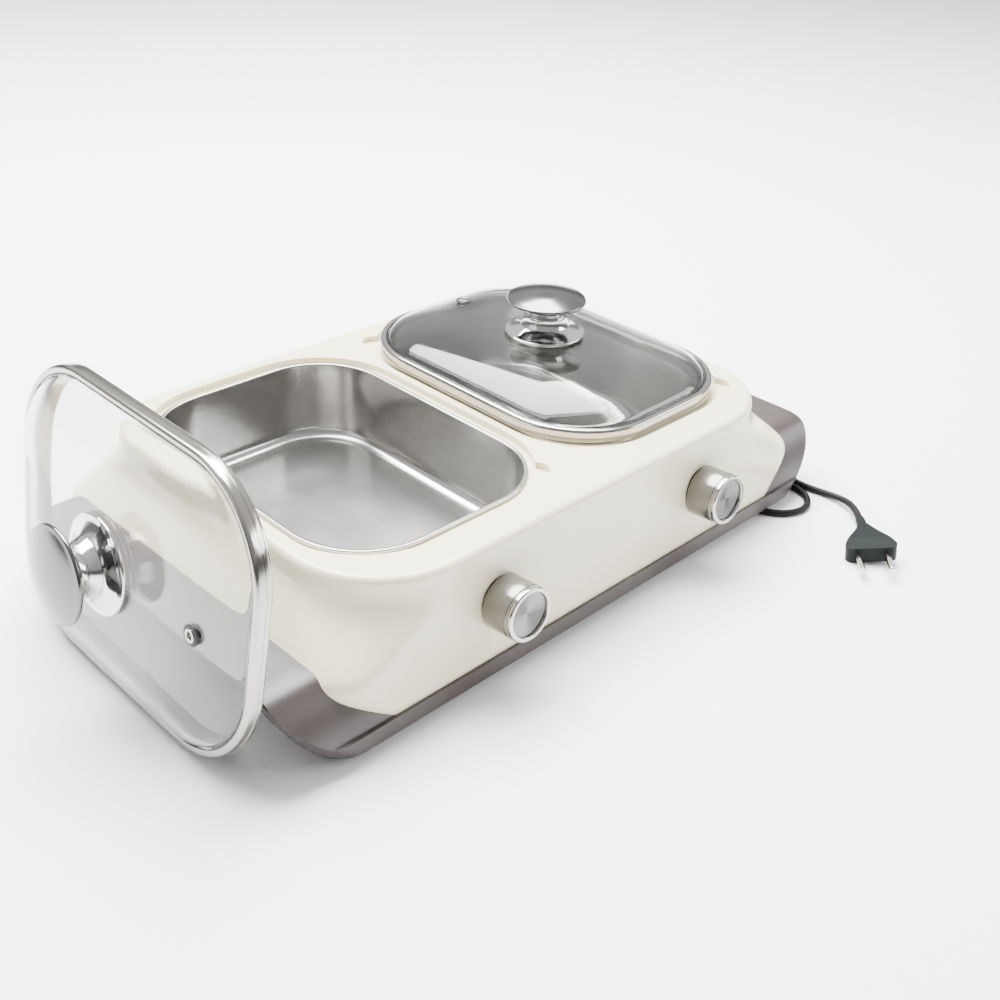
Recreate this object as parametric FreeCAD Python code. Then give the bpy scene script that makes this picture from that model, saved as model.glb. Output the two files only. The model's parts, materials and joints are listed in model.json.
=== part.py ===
import FreeCAD
import Part
import math
import os
from FreeCAD import Matrix, Placement, Rotation, Vector

# Electric buffet server: an oval-cornered housing over a base tray with two end wings,
# two pans in heated wells, two domed glass lids, two control knobs and a mains lead.
# Millimetres. +Z up, +X to the right as seen from the knobs, -Y to the front.
# The origin lies on the table, under the middle of the body.

# ---- base tray -------------------------------------------------------------------------
FOOT_HEIGHT = 6.0              # clearance under the base tray
STRIP_TOP = 17.0               # top of the front and back strips
WING_TOP = 51.0                # flat top of the end wings
LIP_HEIGHT = 4.3               # turned-down edge of a wing
BASE_HALF_Y = 145.4
WING_HALF_X = 242.5            # half length over the wing lips
BASE_WALL = 3.0
HOLLOW_DROP = 8.0              # how far the hollow runs on below the foot
PLATE_THICKNESS = 2.5          # bottom plate
PLATE_GAP = 0.6
FOOT_SPOT = (186.0, 90.0)
FOOT_RADIUS = 9.8
STUD_RADIUS = 3.0              # waist of a foot's button
SHOULDER = [(109.0, 51.0), (126.5, 45.7), (135.8, 34.0), (141.2, 22.3), (143.0, 17.0)]
FLARE = [(6.0, 218.0, 20.0), (20.0, 229.5, 20.0), (34.0, 237.5, 20.0), (46.7, 242.5, 20.0)]
FINGER_HALF_Y = 112.0          # half width of the finger space under a wing
FINGER_WALL_X = 208.0          # outer face of the wall behind the finger space
FINGER_RADIUS = 12.0
LEDGE = (10.5, 13.5)           # bottom and top of the ledge that the bottom plate meets
TRAY_OPENING = (198.0, 128.0, 20.0)

# ---- housing ---------------------------------------------------------------------------
DECK_TOP = 92.7
HOUSING_WALL = 3.0
DECK_EDGE_RADIUS = 4.0
BACK_CORNER_RATIO = 0.8        # the back corners are tighter than the front ones
# height, half length, half depth and front corner radius of each level of the housing
HOUSING_LEVELS = [(15.0, 212.0, 143.1, 23.0), (36.0, 211.5, 142.0, 26.0),
                  (51.0, 210.5, 141.0, 33.0), (58.0, 204.5, 140.2, 42.0),
                  (66.0, 197.5, 139.2, 52.0), (72.0, 193.0, 138.6, 57.0),
                  (78.0, 190.4, 138.1, 60.0), (DECK_TOP, 189.0, 137.4, 61.0)]
BOSS_SPOTS = [(-186.0, -112.0), (0.0, -118.0), (186.0, -112.0),
              (-186.0, 112.0), (0.0, 118.0), (186.0, 112.0)]
BOSS_RADIUS = 4.5
BOSS_HEIGHT = 50.0
SCREW_RADIUS = 1.6
SCREW_LENGTH = 16.0

# ---- wells and pans --------------------------------------------------------------------
WELL_X = 92.6
WELL_Y = 7.0
RECESS = (90.0, 120.5, 62.0)   # half length, half depth and corner radius round a well
RECESS_DEPTH = 4.0
NOTCH_SPOT = (70.0, 103.5)     # lifting notches at two opposite corners of a recess
NOTCH_RADIUS = 9.0
PAN_MOUTH = (80.35, 111.2, 49.0)
PAN_WALL = 0.8
PAN_OPENING = 1.3              # of the recess floor beyond the pan's mouth
PAN_BOTTOM = 34.0
PAN_FLOOR_RADIUS = 9.0
PAN_RIM_TOP = 91.5
PAN_RIM = (83.4, 114.3, 52.1)
LINER_BOTTOM = 24.0
LINER = (84.0, 115.0, 53.0)
LINER_WALL = 1.0
LINER_FLANGE = (89.0, 120.0, 58.0)
ELEMENT_RADIUS = 3.2
ELEMENT_Z = 29.2
ELEMENT_HALF = 45.0            # half distance between the two runs of the element
ELEMENT_FRONT = -75.0
ELEMENT_BACK = 85.0

# ---- lids ------------------------------------------------------------------------------
LID_RIM_PLANE = 96.25
LID_RIM = (86.5, 116.7, 61.5)
LID_RIM_WIDTH = 6.5            # under the glass
LID_LIP_WIDTH = 4.4            # over the glass
LID_RIM_HALF_HEIGHT = 4.6
LOCATING_FLANGE = (79.5, 110.3, 48.2)
LOCATING_DEPTH = 10.0
LOCATING_WALL = 1.4
GLASS_EDGE = (84.2, 114.4, 59.2)
GLASS = 3.6
DOME = [(0.0, 0.0), (2.0, 4.0), (8.0, 8.2), (18.0, 11.4), (32.0, 13.9), (48.0, 15.5), (60.0, 15.9)]
DOME_FOOT = (80.8, 111.0, 55.8)
VENT_OFFSET = 83.0             # vent from the lid's centre, along its long side
VENT_RADIUS = 6.0
LID_KNOB_RADIUS = 27.8
LID_KNOB_HEIGHT = 46.0         # of the knob's edge above the rim plane
LID_FLANGE_RADIUS = 28.6
LID_FLANGE_HEIGHT = 6.6
LID_NECK_RADIUS = 17.5
LID_SCREW_RADIUS = 3.0
LID_WASHER_RADIUS = 14.0
LEAN_ANGLE = 80.5              # of the left lid against the left wing, from level
LEAN_Y = -11.0
LEAN_GAP = 0.2
LEAN_Z_CLEAR = 0.05

# ---- control knobs ---------------------------------------------------------------------
KNOB_X = 93.4
KNOB_SPOT = (-140.4, 53.1)     # depth and height where the axis leaves the front wall
KNOB_TILT = 5.0                # degrees that the axis looks up
KNOB_RADIUS = 17.0
KNOB_LENGTH = 23.5
SHAFT_RADIUS = 3.0
SHAFT_FIT = 0.05
SHAFT_TAIL = 15.0              # of the shaft behind the wall
BUSH_RADIUS = 5.0
BUSH_HOLE_FIT = 0.4
KNOB_RING_DEPTH = 3.8
KNOB_FACE_RADIUS = 13.6
KNOB_CLEARANCE = 1.3           # between the wall and the back of a knob
THERMOSTAT_HALF = (18.0, 12.0)
THERMOSTAT_DEPTH = (7.0, 29.0)  # front and back of its case behind the wall
BAY_HALF = 22.0                # half width of the tray's bay for a thermostat
NUT_RADIUS = 8.0
BEZEL = (16.0, 10.0, 0.9)      # outer and inner radius and height of the washer round a shaft

# ---- mains lead ------------------------------------------------------------------------
CORD_DIAMETER = 5.0
CORD_Z = CORD_DIAMETER / 2.0
GLAND = (-30.0, 141.6, 38.0)
GLAND_LENGTH = 30.0
COIL_CENTRE = (80.0, 186.0)
COIL_INNER = 25.0              # middle of the inner turns
COIL_OUTER = 30.0              # middle of the outer turns
COIL_LAYERS = 3
TAIL_ROUTE = [(-30.0, 171.6, 38.0), (-29.0, 188.0, 36.5), (-20.0, 206.0, 29.0),
              (-2.0, 217.0, 19.0), (20.0, 219.5, 9.5), (40.0, 215.0, 3.5), (59.0, 215.6, 2.5),
              (80.0, 216.0, 2.5)]
LEAD_ROUTE = [(110.0, 186.0, 12.0), (109.8, 172.0, 11.4), (109.2, 158.0, 4.8),
              (110.5, 144.0, 2.6), (115.0, 116.0, 2.5), (130.0, 62.0, 2.5), (127.0, 4.0, 2.5),
              (138.0, -48.0, 2.5), (158.0, -90.0, 2.5), (170.0, -117.0, 2.5),
              (174.0, -138.0, 2.5), (185.0, -156.0, 2.5), (205.0, -163.0, 2.5),
              (223.0, -151.0, 2.5), (225.0, -128.0, 2.5), (217.0, -105.0, 2.5),
              (205.0, -84.0, 2.5), (205.0, -65.9, 2.5), (217.9, -53.0, 2.5),
              (236.1, -53.0, 2.5), (249.0, -65.9, 2.5), (249.0, -84.1, 2.5),
              (243.0, -105.0, 2.5), (233.0, -123.0, 2.5), (231.0, -144.0, 2.5),
              (235.0, -162.0, 2.8), (232.5, -178.0, 5.4), (223.5, -190.5, 7.8),
              (213.0, -200.4, 8.15)]

# ---- plug ------------------------------------------------------------------------------
PLUG_AXIS = (-0.752, -0.659)
PLUG_ROLL = -8.3
PLUG_HALF_WIDTH = 17.0
PLUG_HALF_THICKNESS = 5.6
PLUG_BODY = 34.0
PLUG_NECK = 12.0
PIN_SPACING = 19.0
PIN_RADIUS = 2.0
PIN_LENGTH = 19.0
PIN_ROOT = 8.0                 # length of a pin inside the body

# ---- pieces under the wells ------------------------------------------------------------
BLOCK_LOW = (-7.0, 40.0)       # corners of the terminal block in plan
BLOCK_HIGH = (7.0, 82.0)
BLOCK_HEIGHT = 13.0
BLOCK_PITCH = 10.0
FUSE_X = -158.0
FUSE_LENGTH = 24.0
FUSE_RADIUS = 2.5
WIRE_RADIUS = 1.3
INTERNAL_ROUTE = [(-30.0, 133.0, 38.0), (-30.0, 122.5, 38.0), (-20.0, 117.0, 27.0),
                  (-8.0, 106.0, 19.0), (0.0, 94.0, 17.0), (0.0, 82.0, 17.0)]
# one of the two wires; the other is its mirror image
WIRE_ROUTE = [(3.5, 40.0, 17.0), (3.5, 10.0, 17.0), (4.5, -42.0, 14.5), (16.0, -96.0, 15.5),
              (64.0, -124.0, 22.0), (84.0, -126.0, 35.0)]


# ---- shape helpers ---------------------------------------------------------------------
def rounded_wire(centre, z, half_x, half_y, radius, back_radius=None):
    """A level rectangle with rounded corners; the back pair may have its own radius."""
    cx, cy = centre
    back = radius if back_radius is None else back_radius
    corners = [(1, -1, radius, -90), (1, 1, back, 0), (-1, 1, back, 90), (-1, -1, radius, 180)]
    arcs = []
    for side_x, side_y, r, start in corners:
        middle = Vector(cx + side_x * (half_x - r), cy + side_y * (half_y - r), z)
        points = []
        for turn in (0, 45, 90):
            angle = math.radians(start + turn)
            points.append(middle + Vector(r * math.cos(angle), r * math.sin(angle), 0))
        arcs.append(points)
    edges = []
    for index, points in enumerate(arcs):
        edges.append(Part.Arc(*points).toShape())
        following = arcs[(index + 1) % len(arcs)]
        edges.append(Part.makeLine(points[2], following[0]))
    return Part.Wire(edges)


def prism(centre, low, high, half_x, half_y, radius):
    """An upright block with rounded corners."""
    face = Part.Face(rounded_wire(centre, low, half_x, half_y, radius))
    return face.extrude(Vector(0, 0, high - low))


def grown(size, amount):
    """The same rounded rectangle, larger all round by the amount."""
    return size[0] + amount, size[1] + amount, size[2] + amount


def ring_prism(centre, low, high, outer, inner):
    return prism(centre, low, high, *outer).cut(prism(centre, low - 1, high + 1, *inner))


def box(low, high):
    size = [b - a for a, b in zip(low, high)]
    return Part.makeBox(*size, Vector(*low))


def cylinder(base, radius, height, axis=(0, 0, 1)):
    return Part.makeCylinder(radius, height, Vector(*base), Vector(*axis))


def turned(outline):
    """A body turned about Z: the outline holds (radius, z) points and (mid, end) arcs."""
    edges = []
    at = Vector(outline[0][0], 0, outline[0][1])
    for item in outline[1:] + [outline[0]]:
        if isinstance(item[0], tuple):
            mid, end = [Vector(r, 0, z) for r, z in item]
            edges.append(Part.Arc(at, mid, end).toShape())
        else:
            end = Vector(item[0], 0, item[1])
            if end.distanceToPoint(at) < 1e-6:
                continue
            edges.append(Part.makeLine(at, end))
        at = end
    face = Part.Face(Part.Wire(edges))
    return face.revolve(Vector(0, 0, 0), Vector(0, 0, 1), 360)


def crown(radius, edge_z, middle_z):
    """The arc of a shallow dome or dish, from its edge to its middle on the axis."""
    rise = middle_z - edge_z
    sphere = (radius ** 2 + rise ** 2) / (2.0 * rise)
    half = math.asin(radius / abs(sphere)) / 2.0
    middle = (abs(sphere) * math.sin(half), middle_z - sphere + sphere * math.cos(half))
    return middle, (0, middle_z)


def bend_radius(before, at, after):
    """The largest arc that 0.45 of the shorter run allows at a point of a route."""
    first, second = at - before, after - at
    half_turn = first.getAngle(second) / 2.0
    return 0.45 * min(first.Length, second.Length) / math.tan(half_turn)


def route_wire(points):
    """Straight runs joined by tangent arcs through a list of points."""
    route = [Vector(*p) for p in points]
    edges = []
    radii = []
    start = route[0]
    for before, at, after in zip(route, route[1:], route[2:]):
        radius = bend_radius(before, at, after)
        back, ahead = (before - at).normalize(), (after - at).normalize()
        half_turn = (at - before).getAngle(after - at) / 2.0
        reach = radius * math.tan(half_turn)
        inward = (back + ahead).normalize()
        arc_start, arc_end = at + back * reach, at + ahead * reach
        arc_mid = at + inward * (radius / math.cos(half_turn) - radius)
        edges.append(Part.LineSegment(start, arc_start).toShape())
        edges.append(Part.Arc(arc_start, arc_mid, arc_end).toShape())
        radii.append(radius)
        start = arc_end
    edges.append(Part.LineSegment(start, route[-1]).toShape())
    return Part.Wire(edges), radii


def tube(points, radius):
    """A round rod along a route; prints its radii and compares volume with length."""
    wire, radii = route_wire(points)
    start, ahead = Vector(*points[0]), Vector(*points[1])
    section = Part.Wire([Part.Circle(start, ahead - start, radius).toShape()])
    body = wire.makePipeShell([section], True, False)
    expected = math.pi * radius ** 2 * wire.Length
    print("tube of", round(wire.Length, 1), "mm, radii", [round(r, 1) for r in radii],
          "volume ratio", round(body.Volume / expected, 4))
    return body


def placed(shape, origin, x_axis, y_axis, z_axis):
    """The shape moved from its own axes to the given ones."""
    matrix = Matrix(x_axis.x, y_axis.x, z_axis.x, origin.x,
                    x_axis.y, y_axis.y, z_axis.y, origin.y,
                    x_axis.z, y_axis.z, z_axis.z, origin.z, 0, 0, 0, 1)
    copy = shape.copy()
    copy.Placement = Placement(matrix).multiply(copy.Placement)
    return copy


def well_centre(side):
    return side * WELL_X, WELL_Y


# ---- base tray -------------------------------------------------------------------------
def shoulder_prism(inset, foot):
    """Everything under the arched top line of the tray, along the whole length in X."""
    squeeze = 1.0 - inset / SHOULDER[-1][0]
    front = [Vector(0, -y * squeeze, z - inset) for y, z in reversed(SHOULDER)]
    back = [Vector(0, y * squeeze, z - inset) for y, z in SHOULDER]
    edges = []
    for points, flat_end in ((front, 1), (back, 0)):
        curve = Part.BSplineCurve()
        level = Vector(0, 1, 0)
        steep = (points[1] - points[0]) if flat_end else (points[-1] - points[-2])
        tangents = (steep.normalize(), level) if flat_end else (level, steep.normalize())
        curve.interpolate(Points=points, InitialTangent=tangents[0], FinalTangent=tangents[1])
        edges.append(curve.toShape())
    corners = [back[-1], Vector(0, BASE_HALF_Y * squeeze, back[-1].z),
               Vector(0, BASE_HALF_Y * squeeze, foot), Vector(0, -BASE_HALF_Y * squeeze, foot),
               Vector(0, -BASE_HALF_Y * squeeze, front[0].z), front[0]]
    outline = [edges[0], Part.makeLine(front[-1], back[0]), edges[1]]
    outline += [Part.makeLine(a, b) for a, b in zip(corners, corners[1:])]
    face = Part.Face(Part.Wire(Part.__sortEdges__(outline)))
    face.translate(Vector(-WING_HALF_X - 5, 0, 0))
    return face.extrude(Vector(2 * WING_HALF_X + 10, 0, 0))


def flared_block(inset):
    """Plan outline of the tray, flaring from the foot to the wing lips."""
    wires = []
    for z, half_x, radius in FLARE:
        level = z - HOLLOW_DROP if inset and z == FOOT_HEIGHT else z
        wires.append(rounded_wire((0, 0), level, half_x - inset, BASE_HALF_Y - inset, radius - inset))
    flare = Part.makeLoft(wires, True, False)
    lip = prism((0, 0), FLARE[-1][0], WING_TOP + 1, WING_HALF_X - inset, BASE_HALF_Y - inset,
                FLARE[-1][2] - inset)
    return flare.fuse(lip)


def finger_channel(grow, side):
    """The space for the fingers under a wing, open below and at the end."""
    half = FINGER_HALF_Y + grow
    top = WING_TOP - LIP_HEIGHT + min(grow, LIP_HEIGHT - BASE_WALL)
    depth = 4 * FINGER_RADIUS + top
    block = box((0, -half, top - depth), (60, half, top))
    upper = [e for e in block.Edges if e.BoundBox.YLength < 1e-6 and e.BoundBox.ZMin > top - 1e-6]
    block = block.makeFillet(FINGER_RADIUS, upper)
    block.translate(Vector(FINGER_WALL_X, 0, 0))
    return block if side > 0 else block.mirror(Vector(0, 0, 0), Vector(1, 0, 0))


def base_tray():
    outer = shoulder_prism(0.0, FOOT_HEIGHT).common(flared_block(0.0))
    hollow = shoulder_prism(BASE_WALL, FOOT_HEIGHT - 5).common(flared_block(BASE_WALL))
    tray = outer.cut(hollow).cut(prism((0, 0), LEDGE[1], WING_TOP + 5, *TRAY_OPENING))
    for side in (-1, 1):
        channel = finger_channel(0.0, side)
        jamb = finger_channel(BASE_WALL, side).cut(channel)
        wall_x = sorted((side * (FINGER_WALL_X - BASE_WALL), side * FINGER_WALL_X))
        wall = box((wall_x[0], -BASE_HALF_Y, FOOT_HEIGHT), (wall_x[1], BASE_HALF_Y, WING_TOP))
        tray = tray.fuse(jamb.fuse(wall).common(outer)).cut(channel)
    half_x = FINGER_WALL_X - 1
    ledge = ring_prism((0, 0), *LEDGE, (half_x, BASE_HALF_Y - 2, 22), (half_x - 10, 131.0, 14))
    tray = tray.fuse(ledge.common(outer))
    notch = box((GLAND[0] - 10, 120, STRIP_TOP + 6), (GLAND[0] + 10, 141, WING_TOP + 5))
    tray = tray.cut(notch)
    for side in (-1, 1):
        bay_x = side * KNOB_X
        tray = tray.cut(box((bay_x - BAY_HALF, -140, STRIP_TOP + 6),
                            (bay_x + BAY_HALF, -120, WING_TOP + 5)))
    return tray.removeSplitter()


def bottom_plate():
    half_x = FINGER_WALL_X - BASE_WALL - 0.5
    half_y = BASE_HALF_Y - BASE_WALL - PLATE_GAP
    plate = prism((0, 0), LEDGE[0] - PLATE_THICKNESS, LEDGE[0], half_x, half_y, 21)
    for x, y in BOSS_SPOTS:
        plate = plate.cut(cylinder((x, y, 0), SCREW_RADIUS + 0.3, 20))
    for x, y in foot_spots():
        plate = plate.cut(cylinder((x, y, 0), STUD_RADIUS, 20))
    return plate


def foot_spots():
    return [(sx * FOOT_SPOT[0], sy * FOOT_SPOT[1]) for sx in (-1, 1) for sy in (-1, 1)]


def rubber_feet():
    """Four round feet, each with a button pressed through the bottom plate."""
    low, high = LEDGE[0] - PLATE_THICKNESS, LEDGE[0]
    sole = FOOT_RADIUS - 1.8
    outline = [(0, 0), (sole, 0), ((sole + 0.9, 0.4), (sole + 1.2, 1.2)), (FOOT_RADIUS, low),
               (STUD_RADIUS, low), (STUD_RADIUS, high), (STUD_RADIUS + 1.0, high),
               (STUD_RADIUS - 0.8, high + 2.5), (0, high + 2.5)]
    foot = turned(outline)
    return Part.makeCompound([foot.translated(Vector(x, y, 0)) for x, y in foot_spots()])


def bottom_screws():
    """Pan-head screws through the bottom plate into the housing's bosses."""
    low = LEDGE[0] - PLATE_THICKNESS
    outline = [(0, low - 2.2), (2.2, low - 2.2), ((3.2, low - 1.8), (3.6, low - 0.9)), (3.6, low),
               (SCREW_RADIUS, low), (SCREW_RADIUS, low + SCREW_LENGTH), (0, low + SCREW_LENGTH)]
    screw = turned(outline)
    slot = box((-2.4, -0.4, low - 3), (2.4, 0.4, low - 1.3))
    cross = slot.fuse(slot.rotated(Vector(0, 0, 0), Vector(0, 0, 1), 90))
    screw = screw.cut(cross)
    return Part.makeCompound([screw.translated(Vector(x, y, 0)) for x, y in BOSS_SPOTS])


# ---- housing ---------------------------------------------------------------------------
def housing_loft(inset, top):
    wires = []
    for z, half_x, half_y, radius in HOUSING_LEVELS:
        level = top if z == DECK_TOP else z
        front = radius - inset
        wires.append(rounded_wire((0, 0), level, half_x - inset, half_y - inset, front,
                                  front * BACK_CORNER_RATIO))
    return Part.makeLoft(wires, True, False)


def notch_spots(side, z):
    centre = well_centre(side)
    return [(centre[0] + turn * NOTCH_SPOT[0], centre[1] - turn * NOTCH_SPOT[1], z)
            for turn in (-1, 1)]


def upper_housing():
    outer = housing_loft(0.0, DECK_TOP)
    rim = [e for e in outer.Edges if e.BoundBox.ZMin > DECK_TOP - 1e-3]
    outer = outer.makeFillet(DECK_EDGE_RADIUS, rim)
    shell = outer.cut(housing_loft(HOUSING_WALL, DECK_TOP - HOUSING_WALL))
    recess_floor = DECK_TOP - RECESS_DEPTH
    for side in (-1, 1):
        centre = well_centre(side)
        tray = prism(centre, recess_floor - HOUSING_WALL, DECK_TOP - 1, *grown(RECESS, 3))
        shell = shell.fuse(tray)
        for spot in notch_spots(side, recess_floor - HOUSING_WALL):
            shell = shell.fuse(cylinder(spot, NOTCH_RADIUS + HOUSING_WALL, RECESS_DEPTH + 2))
    for side in (-1, 1):
        centre = well_centre(side)
        shell = shell.cut(prism(centre, recess_floor, DECK_TOP + 5, *RECESS))
        shell = shell.cut(prism(centre, 60, DECK_TOP + 5, *grown(PAN_MOUTH, PAN_OPENING)))
        for spot in notch_spots(side, recess_floor):
            shell = shell.cut(cylinder(spot, NOTCH_RADIUS, RECESS_DEPTH + 5))
        shell = shell.cut(knob_part(cylinder((0, 0, -20), BUSH_RADIUS + BUSH_HOLE_FIT, 40), side))
    shell = shell.cut(shoulder_prism(0.0, -5).fuse(box((-260, -160, -10), (260, 160, STRIP_TOP))
                                                   .cut(box((-190, -120, 8), (190, 125, 90)))))
    shell = shell.cut(cylinder(GLAND, 6.0, 20, (0, 1, 0)).translated(Vector(0, -12, 0)))
    for x, y in BOSS_SPOTS:
        boss = cylinder((x, y, LEDGE[0]), BOSS_RADIUS, BOSS_HEIGHT)
        boss = boss.cut(cylinder((x, y, LEDGE[0]), SCREW_RADIUS, SCREW_LENGTH + 2))
        shell = shell.fuse(boss.common(outer))
    return largest(shell.removeSplitter())


def largest(shape):
    return max(shape.Solids, key=lambda solid: solid.Volume)


# ---- wells -----------------------------------------------------------------------------
def well_liner(side):
    """A sheet-metal tub hung under the deck recess, with holes for the element's ends."""
    centre = well_centre(side)
    top = DECK_TOP - RECESS_DEPTH - HOUSING_WALL
    tub = prism(centre, LINER_BOTTOM, top, *LINER)
    tub = tub.fuse(prism(centre, top - 1.2, top, *LINER_FLANGE))
    tub = tub.cut(prism(centre, LINER_BOTTOM + LINER_WALL, top + 1, *grown(LINER, -LINER_WALL)))
    for x in element_ends(side):
        tub = tub.cut(cylinder((x, ELEMENT_FRONT, 10), 5.1, 30))
    return tub


def element_ends(side):
    return side * WELL_X - ELEMENT_HALF, side * WELL_X + ELEMENT_HALF


def heating_element(side):
    """A U-shaped tubular element; both ends turn down through the well's floor."""
    left, right = element_ends(side)
    foot = LINER_BOTTOM - 9
    points = [(left, ELEMENT_FRONT, foot), (left, ELEMENT_FRONT, ELEMENT_Z),
              (left, ELEMENT_BACK, ELEMENT_Z), (right, ELEMENT_BACK, ELEMENT_Z),
              (right, ELEMENT_FRONT, ELEMENT_Z), (right, ELEMENT_FRONT, foot)]
    return tube(points, ELEMENT_RADIUS)


def element_bushings():
    """Flanged collars round the element's ends, one in each hole of the liners' floors."""
    low, floor = LINER_BOTTOM - 3, LINER_BOTTOM
    bore = ELEMENT_RADIUS + 0.8
    outline = [(bore, low), (7.0, low), (7.0, floor), (5.0, floor),
               (5.0, floor + LINER_WALL), (bore, floor + LINER_WALL)]
    collar = turned(outline)
    spots = [x for side in (-1, 1) for x in element_ends(side)]
    return Part.makeCompound([collar.translated(Vector(x, ELEMENT_FRONT, 0)) for x in spots])


def insulation_pad(side):
    return prism((side * WELL_X, 20.0), LINER_BOTTOM - 6, LINER_BOTTOM, 70, 80, 20)


def pan(side):
    """A seamless pan with a flat floor, upright walls and a narrow turned-down rim."""
    centre = well_centre(side)
    outer = rounded_tub(centre, PAN_BOTTOM, PAN_RIM_TOP, grown(PAN_MOUTH, PAN_WALL), PAN_FLOOR_RADIUS)
    inner = rounded_tub(centre, PAN_BOTTOM + PAN_WALL, PAN_RIM_TOP + 1, PAN_MOUTH,
                        PAN_FLOOR_RADIUS - PAN_WALL)
    flange = prism(centre, PAN_RIM_TOP - 1, PAN_RIM_TOP, *PAN_RIM)
    edge = ring_prism(centre, DECK_TOP - RECESS_DEPTH, PAN_RIM_TOP, PAN_RIM, grown(PAN_RIM, -0.8))
    return outer.fuse(flange).fuse(edge).cut(inner).removeSplitter()


def rounded_tub(centre, low, high, size, floor_radius):
    block = prism(centre, low, high, *size)
    floor = [e for e in block.Edges if e.BoundBox.ZMax < low + 1e-6]
    return block.makeFillet(floor_radius, floor)


# ---- control knobs ---------------------------------------------------------------------

def knob_part(shape, side):
    """A shape built along a knob's own axis, set where that knob's axis leaves the wall."""
    tilt = math.radians(KNOB_TILT)
    outward = Vector(0, -math.cos(tilt), math.sin(tilt))
    sideways = Vector(1, 0, 0)
    origin = Vector(side * KNOB_X, KNOB_SPOT[0], KNOB_SPOT[1])
    return placed(shape, origin, sideways, outward.cross(sideways), outward)


def thermostat():
    """Control body behind the wall with its threaded bush through the wall."""
    half_x, half_y = THERMOSTAT_HALF
    body = box((-half_x, -half_y, -THERMOSTAT_DEPTH[1]), (half_x, half_y, -THERMOSTAT_DEPTH[0]))
    body = body.makeFillet(1.5, [e for e in body.Edges if e.BoundBox.ZLength > 10])
    bush = cylinder((0, 0, -7.5), BUSH_RADIUS, 11.0)
    bore = cylinder((0, 0, -16), SHAFT_RADIUS + SHAFT_FIT, 30)
    for x in (-half_x / 2, half_x / 2):
        body = body.fuse(box((x - 2.5, -half_y - 5, -24), (x + 2.5, -half_y, -23)))
    return body.fuse(bush).cut(bore)


def thermostat_nut():
    points = []
    for turn in range(7):
        angle = math.radians(60 * turn)
        points.append(Vector(NUT_RADIUS * math.cos(angle), NUT_RADIUS * math.sin(angle), BEZEL[2]))
    nut = Part.Face(Part.makePolygon(points)).extrude(Vector(0, 0, 2.6))
    return nut.cut(cylinder((0, 0, -5), BUSH_RADIUS, 20))


def knob_bezel():
    return cylinder((0, 0, -1.0), BEZEL[0], BEZEL[2] + 1.0).cut(cylinder((0, 0, -5), BEZEL[1], 20))


def knob_body():
    """A straight grip with a socket for the shaft and a hollow over the nut."""
    top = KNOB_LENGTH - KNOB_RING_DEPTH
    low = KNOB_CLEARANCE
    outline = [(SHAFT_RADIUS, 5.0), (BEZEL[1], 5.0), (BEZEL[1], low), (KNOB_RADIUS - 0.4, low),
               (KNOB_RADIUS, low + 0.4), (KNOB_RADIUS, top), (SHAFT_RADIUS, top)]
    return turned(outline)


def knob_ring():
    """The bright front ring, with a fine groove round it."""
    low, high = KNOB_LENGTH - KNOB_RING_DEPTH, KNOB_LENGTH
    radius = KNOB_RADIUS - 0.2
    inner = KNOB_FACE_RADIUS
    outline = [(inner, low), (radius, low), (radius, low + 1.1), (radius - 0.5, low + 1.25),
               (radius - 0.5, low + 1.55), (radius, low + 1.7), (radius, high - 1.0),
               ((radius - 0.3, high - 0.3), (radius - 1.0, high)), (inner + 0.8, high)]
    return turned(outline)


def knob_dish():
    """The spun face inside the ring, hollowed like a shallow cup."""
    low, edge = KNOB_LENGTH - KNOB_RING_DEPTH, KNOB_FACE_RADIUS
    outline = [(0, low), (edge, low), (edge, low + 1.8), crown(edge, low + 1.8, low + 0.6)]
    return turned(outline)


def knob_shaft():
    return cylinder((0, 0, -SHAFT_TAIL), SHAFT_RADIUS, KNOB_LENGTH - KNOB_RING_DEPTH + SHAFT_TAIL)


# ---- lids ------------------------------------------------------------------------------
# A lid's own axes: Z = 0 is the middle of its rim, +Z the knob's side, Y its long side.
def lid_glass(vent_side):
    """A pane with a flat edge and a low dome, drilled for the knob screw and the vent."""
    def dome(drop, inset):
        wires = []
        for step, height in DOME:
            half_x, half_y = [value - step - inset for value in DOME_FOOT[:2]]
            radius = DOME_FOOT[2] * half_x / DOME_FOOT[0]
            wires.append(rounded_wire((0, 0), GLASS + height - drop, half_x, half_y, radius))
        return Part.makeLoft(wires, True, False)
    edge = prism((0, 0), 0.0, GLASS, *GLASS_EDGE)
    pane = edge.fuse(dome(0.0, 0.0)).cut(dome(GLASS, 3.0))
    below = prism((0, 0), -10.0, 0.001, *GLASS_EDGE)
    pane = pane.cut(below).cut(cylinder((0, 0, -20), 3.0, 60))
    return pane.cut(cylinder((0, vent_side * VENT_OFFSET, -20), VENT_RADIUS - 1.6, 60))


def lid_rim():
    """A rolled steel band that holds the glass, with a flange that finds the pan's mouth."""
    inner = grown(LID_RIM, -LID_RIM_WIDTH)
    band = prism((0, 0), -LID_RIM_HALF_HEIGHT, LID_RIM_HALF_HEIGHT, *LID_RIM)
    top = [e for e in band.Edges if e.BoundBox.ZMin > LID_RIM_HALF_HEIGHT - 1e-6]
    band = band.makeFillet(2.2, top)
    band = band.cut(prism((0, 0), -20, 1, *inner))
    band = band.cut(prism((0, 0), 0, 20, *grown(LID_RIM, -LID_LIP_WIDTH)))
    band = band.cut(prism((0, 0), 0.0, GLASS + 0.1, *grown(GLASS_EDGE, 0.2)))
    sleeve = ring_prism((0, 0), -LOCATING_DEPTH, 0.0, LOCATING_FLANGE,
                        grown(LOCATING_FLANGE, -LOCATING_WALL))
    return band.fuse(sleeve)


def glass_crown():
    return GLASS + DOME[-1][1]


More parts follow.
